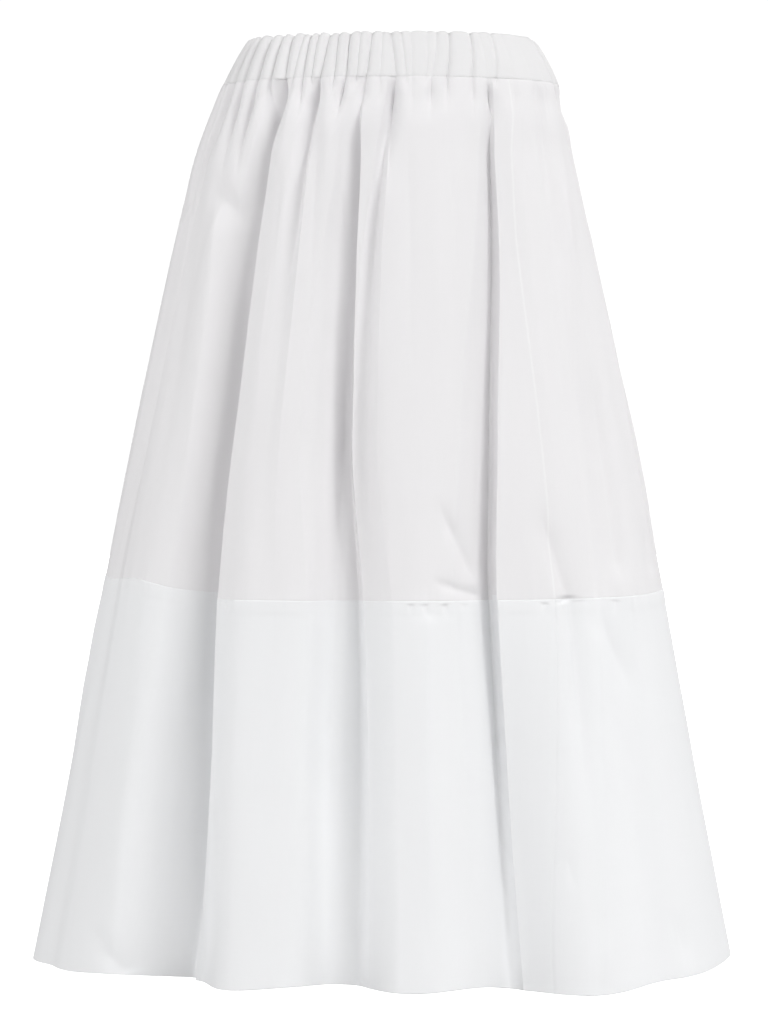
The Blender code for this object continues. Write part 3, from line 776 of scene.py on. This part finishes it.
class SkirtSettings(bpy.types.PropertyGroup):
    """Sizes, colours and light that a user would change."""

    gather_depth: strength_setting("Gather depth", "Depth of the gathers, as a share of the measured one")
    crease_depth: strength_setting("Crease depth", "Depth of the creases, as a share of the measured one")
    rumple_height: length_setting("Rumple height", "Height of the soft swells", 0.0005)
    double_thickness: length_setting("Doubled cloth", "Thickness of the lower tier", 0.0012)
    band_thickness: length_setting("Band", "Thickness of the waistband with its elastic", 0.0024)
    yarn_pitch: length_setting("Yarn pitch", "Two yarns of the weave", 0.0005)
    stitch_length: length_setting("Stitch length", "One stitch of the band's seam", 0.0028)
    upper_colour: colour_setting("Upper tier", "Colour of the single cloth", (0.84, 0.83, 0.84))
    lower_colour: colour_setting("Lower tier", "Colour of the doubled cloth", (0.87, 0.875, 0.885))
    band_colour: colour_setting("Waistband", "Colour of the band's cloth", (0.80, 0.795, 0.80))
    ambient: strength_setting("Ambient light", "Light from all round", 0.10)
    light_power: strength_setting("Lamps", "Strength of the soft lamps", most=4)


def face_relief(turn, down, downs, upper, settings):
    """How far a tier's outer face stands out from its folds, in metres, and how much each point is on a seam line."""
    relief = crease_relief(turn, down, settings.crease_depth)
    relief += rumples(turn, down, settings.rumple_height) * smooth_step(down, BAND_SEAM, BAND_SEAM + RUMPLE_RUN_IN)
    relief += join_puckers(turn, down)
    seams, pale = seam_relief(turn, down, downs, upper)
    return relief + seams, pale


def gore_grid(gore, columns, downs):
    """A cut piece's columns as cells, and the turn and the place down at each point of its grid."""
    cells = np.linspace(gore.first, gore.last, (gore.last - gore.first) * columns + 1)
    turn = turn_grid(cells, downs)
    return cells, turn, np.broadcast_to(downs[:, None], turn.shape)


def sheet_piece(name, gore, cells, turn, points, along, pale, finish, slot):
    """A tier's cut piece from its grid of points, laid out on the flat cloth, with its material."""
    mesh, faces = grid_mesh(name + "_cloth", points)
    width = (cells - gore.first) / (gore.last - gore.first) * gore.upper_width
    lay_out(mesh, faces, np.broadcast_to(width, turn.shape), np.broadcast_to(along[:, None], turn.shape))
    point_value(mesh, "seam_line", pale)
    return placed(name + "_cloth", mesh, finish, slot, name)


class SKIRT_OT_upper_tier(bpy.types.Operator):
    """Make the upper tier's three cut pieces of single cloth, gathered under the waistband"""

    bl_idname = "skirt.upper_tier"
    bl_label = "Upper tier"

    def execute(self, context):
        """Rows run from under the band's edge to under the lower tier's, where the cloth steps back by its tuck."""
        settings = context.scene.skirt
        finish = poplin_named("upper_poplin", settings.upper_colour, UPPER_SEAM_STRENGTH, settings)
        downs = graded(BAND_SEAM - HIDDEN_EDGE, JOIN + HIDDEN_EDGE, *UPPER_STEPS)
        for gore in GORES:
            cells, turn, down = gore_grid(gore, gore.upper_columns, downs)
            relief, pale = face_relief(turn, down, downs, True, settings)
            relief += gather_relief(turn, down, settings.gather_depth)
            relief -= BAND_TUCK * (1 - smooth_step(down, BAND_SEAM - TUCK_LENGTH, BAND_SEAM + SEAM_GAP))
            relief -= JOIN_TUCK * smooth_step(down, JOIN, JOIN + TUCK_LENGTH)
            name = f"upper_{gore.name}"
            points = draped(turn, down, relief)
            piece = sheet_piece(name, gore, cells, turn, points, downs, pale, finish, "upper_cotton")
        return {"FINISHED"}


class SKIRT_OT_lower_tier(bpy.types.Operator):
    """Make the lower tier's three cut pieces of doubled cloth, folded at the hem"""

    bl_idname = "skirt.lower_tier"
    bl_label = "Lower tier"

    def execute(self, context):
        """Rows run down the outer layer, half round the hem's fold, and up the inner layer, one thickness behind."""
        settings = context.scene.skirt
        finish = poplin_named("lower_poplin", settings.lower_colour, 0.0, settings)
        thickness = settings.double_thickness
        fold_at = HEM - thickness / 2
        outer = graded(JOIN, fold_at, *LOWER_OUTER_STEPS)
        bend = np.linspace(0, math.pi, ROLL_STEPS + 1)[1:-1]
        inner = graded(JOIN - HIDDEN_EDGE, fold_at, *LOWER_INNER_STEPS)[::-1]
        downs = np.concatenate([outer, fold_at + thickness / 2 * np.sin(bend), inner])
        bent = thickness / 2 * (1 - np.cos(bend))
        behind = np.concatenate([np.zeros(len(outer)), bent, np.full(len(inner), thickness)])[:, None]
        along = np.concatenate([outer, fold_at + bend * thickness / 2, 2 * HEM - inner])
        for gore in GORES:
            cells, turn, down = gore_grid(gore, gore.lower_columns, downs)
            relief, pale = face_relief(turn, down, downs, False, settings)
            begun = smooth_step(down, JOIN, JOIN + ROUNDING_LENGTH)
            swell = begun * (1 - smooth_step(down, JOIN + SWELL_STARTS_TO_END, JOIN + SWELL_ENDS))
            relief += JOIN_SWELL * swell - JOIN_ROUNDING * (1 - begun)
            name = f"lower_{gore.name}"
            points = draped(turn, down, relief - behind)
            piece = sheet_piece(name, gore, cells, turn, points, along, pale, finish, "lower_cotton")
            top, bottom = gore.lower_widths
            area = (top + bottom) * LOWER_LENGTH
        return {"FINISHED"}


def band_section(thickness):
    """The band's closed cross-section, from its seam up its outer face, over the top and down inside again.

    Each row has its place down, how far it lies behind the outer face, and its share of the gathers' relief. The top is
    a half circle across the thickness, and the lower edge is a flatter half ellipse.
    """
    radius = thickness / 2
    top, bottom = BAND_TOP + radius, BAND_SEAM - BAND_EDGE_ROUNDING
    outer = graded(top, bottom, *BAND_OUTER_STEPS)[::-1]
    bend = np.linspace(0, math.pi, ROLL_STEPS + 1)[1:-1]
    inner = graded(top, bottom, *BAND_INNER_STEPS)
    downs = np.concatenate([outer, top - radius * np.sin(bend), inner, bottom + BAND_EDGE_ROUNDING * np.sin(bend)])
    inside = np.full(len(inner), 1.0)
    sunk = radius * np.cos(bend)
    behind = np.concatenate([0 * outer, radius - sunk, thickness * inside, radius + sunk])
    less = np.linspace(1, INSIDE_SHARE, len(bend))
    share = np.concatenate([0 * outer + 1, less, INSIDE_SHARE * inside, less[::-1]])
    return downs, behind, share


def band_face(turn, down, settings):
    """How far the band's outer face stands out: its gathers, and a groove along the stitches near its lower edge."""
    relief = gather_relief(turn, down, settings.gather_depth)
    relief += rumples(turn, down, settings.rumple_height * BAND_RUMPLE_SHARE)
    stitches = (down - (BAND_SEAM - STITCH_LINE)) / GROOVE_WIDTH
    return relief - STITCH_GROOVE * np.exp(-stitches * stitches)


class SKIRT_OT_waistband(bpy.types.Operator):
    """Make the waistband: a gathered casing round its elastic, rolled over at the top"""

    bl_idname = "skirt.waistband"
    bl_label = "Waistband"

    def execute(self, context):
        """Each point stands out from the general form by its share of the relief, less how far it lies behind.

        Along the top edge, the valleys also dip, by a share of their depth.
        """
        settings = context.scene.skirt
        downs, behind, share = band_section(settings.band_thickness)
        cells = np.linspace(0, CELLS, BAND_COLUMNS, endpoint=False)
        turns = turn_grid(cells, downs)
        down = np.broadcast_to(downs[:, None], turns.shape)
        point, outward, _, _ = ring(turns, down)
        relief = band_face(turns, down, settings) * share[:, None]
        at_top = 1 - smooth_step(down, BAND_TOP, BAND_TOP + TOP_DIP_FADE)
        dip = np.clip(LOBE_HEIGHT - relief, 0, None) * TOP_DIP * at_top
        points = point + outward * (relief - behind[:, None])[..., None]
        points[..., 2] -= dip
        mesh, faces = grid_mesh("waistband_cloth", points[::-1], closed_round=True, closed_down=True)
        run = np.cumsum(np.abs(np.diff(downs, prepend=downs[0])) + np.abs(np.diff(behind, prepend=behind[0])))
        across, along = cells / CELLS * BAND_CUT, run[::-1, None]
        lay_out(mesh, faces, np.broadcast_to(across, turns.shape), np.broadcast_to(along, turns.shape))
        point_value(mesh, "seam_line", np.zeros(turns.shape))
        finish = poplin_named("band_poplin", settings.band_colour, 0.0, settings)
        piece = placed("waistband_cloth", mesh, finish, "band_cotton", "waistband")
        return {"FINISHED"}


def stitch_row(name, centres, along, outward, length, radius):
    """Stitches as one mesh: a spindle of six sides at each centre, laid along the row and half sunk into the cloth."""
    rings = np.array([(-0.5, 0.0), (-0.42, 0.75), (-0.15, 1.0), (0.15, 1.0), (0.42, 0.75), (0.5, 0.0)])
    sides = 6
    angle = np.arange(sides) / sides * math.tau
    sideways = np.cross(outward, along)
    lengthwise = rings[:, 0] * length
    girth = rings[:, 1] * radius
    points = (
        centres[:, None, None]
        + along[:, None, None] * lengthwise[None, :, None, None]
        + outward[:, None, None] * (girth[:, None] * np.cos(angle))[None, ..., None]
        + sideways[:, None, None] * (girth[:, None] * np.sin(angle))[None, ..., None]
    )
    count, steps = len(centres), len(rings)
    number = np.arange(count * steps * sides).reshape(count, steps, sides)
    after = np.roll(number, -1, axis=2)
    faces = np.stack([number[:, :-1], after[:, :-1], after[:, 1:], number[:, 1:]], -1).reshape(-1, 4)
    mesh = new_mesh(name, points, faces)
    mesh.shade_smooth()
    place = np.broadcast_to(lengthwise[None, :, None], number.shape)
    round_it = np.broadcast_to(angle[None, None] * radius, number.shape)
    lay_out(mesh, faces, place, round_it)
    return mesh


class SKIRT_OT_stitching(bpy.types.Operator):
    """Make the row of stitches just above the waistband's lower edge"""

    bl_idname = "skirt.stitching"
    bl_label = "Stitching"

    def execute(self, context):
        """Their centres divide the line evenly, a little proud of the band's face, and each lies along its chord."""
        settings = context.scene.skirt
        fine = np.linspace(-180, 180, LINE_POINTS)
        down = np.full_like(fine, BAND_SEAM - STITCH_LINE)
        point, outward, _, _ = ring(fine, down)
        line = point + outward * (band_face(fine, down, settings) + THREAD_LIFT)[:, None]
        run = np.concatenate([[0], np.cumsum(np.linalg.norm(np.diff(line, axis=0), axis=1))])
        count = int(run[-1] / settings.stitch_length)
        at = (np.arange(count) + 0.5) * run[-1] / count
        half = settings.stitch_length * STITCH_HALF

        def on_line(distance):
            return np.stack([np.interp(distance, run, line[:, axis]) for axis in range(3)], -1)

        centres = on_line(at)
        along = on_line(at + half) - on_line(at - half)
        length = np.linalg.norm(along, axis=1).mean()
        along = along / np.linalg.norm(along, axis=1, keepdims=True)
        proud = np.stack([np.interp(at, run, outward[:, axis]) for axis in range(3)], -1)
        proud -= along * (proud * along).sum(1, keepdims=True)
        proud /= np.linalg.norm(proud, axis=1, keepdims=True)
        mesh = stitch_row("band_stitches", centres, along, proud, length, THREAD_RADIUS)
        finish = bpy.data.materials.get("sewing_thread") or thread_finish(settings.band_colour)
        placed("band_stitches", mesh, finish, "band_cotton")
        return {"FINISHED"}


# Soft lamps far away: the side they stand on, how high, and the share of full white that each gives a facing surface
Lamp = namedtuple("Lamp", "name azimuth elevation share")
LAMPS = (
    Lamp("left_front_light", -30, 5, 0.34),
    Lamp("left_light", -60, 5, 0.23),
    Lamp("left_side_light", -90, 10, 0.20),
    Lamp("front_light", 0, 5, 0.05),
    Lamp("right_front_light", 30, 5, 0.19),
    Lamp("right_light", 60, 5, 0.05),
    Lamp("right_high_light", 60, 45, 0.50),
    Lamp("right_side_light", 90, 10, 0.18),
    Lamp("left_back_light", -120, 15, 0.10),
    Lamp("right_back_light", 120, 15, 0.20),
    Lamp("back_light", 180, 20, 0.65),
)
LAMP_WIDTH = 24

# The camera stands where the photograph's did: level, in front, and far enough for the hem's curve
CAMERA_DISTANCE = 4.2
CAMERA_ASIDE, CAMERA_HEIGHT = -0.0068, -0.3804
PIXELS_A_METRE, IMAGE_HEIGHT, SENSOR = 1180.0, 1024.0, 36.0
FLOOR_DROP, FLOOR_RADIUS, FLOOR_SIDES, FLOOR_GLOW = 0.16, 60.0, 64, 0.75
BACKDROP_WHITE = 1.05


def soft_light(lamp, power):
    """A wide distant lamp on its side of the skirt, shining at it."""
    light = bpy.data.lights.new(lamp.name, "SUN")
    light.energy = math.pi * lamp.share * power
    light.angle = math.radians(LAMP_WIDTH)
    side, height = math.radians(lamp.azimuth), math.radians(lamp.elevation)
    level = math.cos(height)
    towards = Vector((math.sin(side) * level, -math.cos(side) * level, math.sin(height)))
    made = bpy.data.objects.new(lamp.name, light)
    bpy.context.collection.objects.link(made)
    made.location = towards * CAMERA_DISTANCE
    made.rotation_euler = towards.to_track_quat("Z", "Y").to_euler()


class SKIRT_OT_stage(bpy.types.Operator):
    """Make the pale floor, the studio light and the camera"""

    bl_idname = "skirt.stage"
    bl_label = "Stage"

    def execute(self, context):
        scene = context.scene
        settings = scene.skirt
        scene.view_settings.view_transform = "Standard"
        turns = np.radians(np.arange(FLOOR_SIDES) / FLOOR_SIDES * 360)
        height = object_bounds()[0].z - FLOOR_DROP
        rim = np.stack([FLOOR_RADIUS * np.cos(turns), FLOOR_RADIUS * np.sin(turns), 0 * turns + height], -1)
        mesh = new_mesh("floor", rim, [range(FLOOR_SIDES)])
        floor = bpy.data.objects.new("floor", mesh)
        context.collection.objects.link(floor)
        floor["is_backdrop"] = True
        paper = bpy.data.materials.new("floor_paper")
        sheet = NodeSheet(paper)
        sheet.finish({"Base Color": (0.9, 0.9, 0.9, 1.0), "Roughness": 0.9})
        sheet.finish({"Emission Color": (1.0, 1.0, 1.0, 1.0), "Emission Strength": FLOOR_GLOW})
        mesh.materials.append(paper)
        floor.visible_diffuse = floor.visible_glossy = floor.visible_shadow = False

        world = bpy.data.worlds.new("studio")
        scene.world = world
        world.use_nodes = True
        tree = world.node_tree
        background = tree.nodes["Background"]
        background.inputs[0].default_value = (1.0, 1.0, 1.0, 1.0)
        seen = tree.nodes.new("ShaderNodeLightPath")
        level = tree.nodes.new("ShaderNodeMapRange")
        level.inputs["To Min"].default_value = settings.ambient
        level.inputs["To Max"].default_value = BACKDROP_WHITE
        tree.links.new(seen.outputs["Is Camera Ray"], level.inputs["Value"])
        tree.links.new(level.outputs[0], background.inputs[1])

        for lamp in LAMPS:
            soft_light(lamp, settings.light_power)

        lens = bpy.data.cameras.new("camera")
        lens.sensor_width = SENSOR
        lens.lens = SENSOR * PIXELS_A_METRE * CAMERA_DISTANCE / IMAGE_HEIGHT
        camera = bpy.data.objects.new("camera", lens)
        context.collection.objects.link(camera)
        camera.location = (CAMERA_ASIDE, -CAMERA_DISTANCE, CAMERA_HEIGHT)
        camera.rotation_euler = (math.pi / 2, 0, 0)
        scene.camera = camera
        return {"FINISHED"}


PIECES = (SKIRT_OT_waistband, SKIRT_OT_upper_tier, SKIRT_OT_lower_tier, SKIRT_OT_stitching, SKIRT_OT_stage)


class SKIRT_PT_panel(bpy.types.Panel):
    """The skirt's sizes, colours and pieces"""

    bl_label = "Balloon skirt"
    bl_idname = "SKIRT_PT_panel"
    bl_space_type = "VIEW_3D"
    bl_region_type = "UI"
    bl_category = "Skirt"

    def draw(self, context):
        for name in SkirtSettings.__annotations__:
            self.layout.prop(context.scene.skirt, name)
        for piece in PIECES:
            self.layout.operator(piece.bl_idname)


CLASSES = (SkirtSettings, *PIECES, SKIRT_PT_panel)


def register():
    for cls in CLASSES:
        bpy.utils.register_class(cls)
    bpy.types.Scene.skirt = bpy.props.PointerProperty(type=SkirtSettings)


def unregister():
    del bpy.types.Scene.skirt
    for cls in reversed(CLASSES):
        bpy.utils.unregister_class(cls)


def main():
    register()
    for piece in PIECES:
        area, verb = piece.bl_idname.split(".")
        getattr(getattr(bpy.ops, area), verb)()


if __name__ == "__main__":
    main()
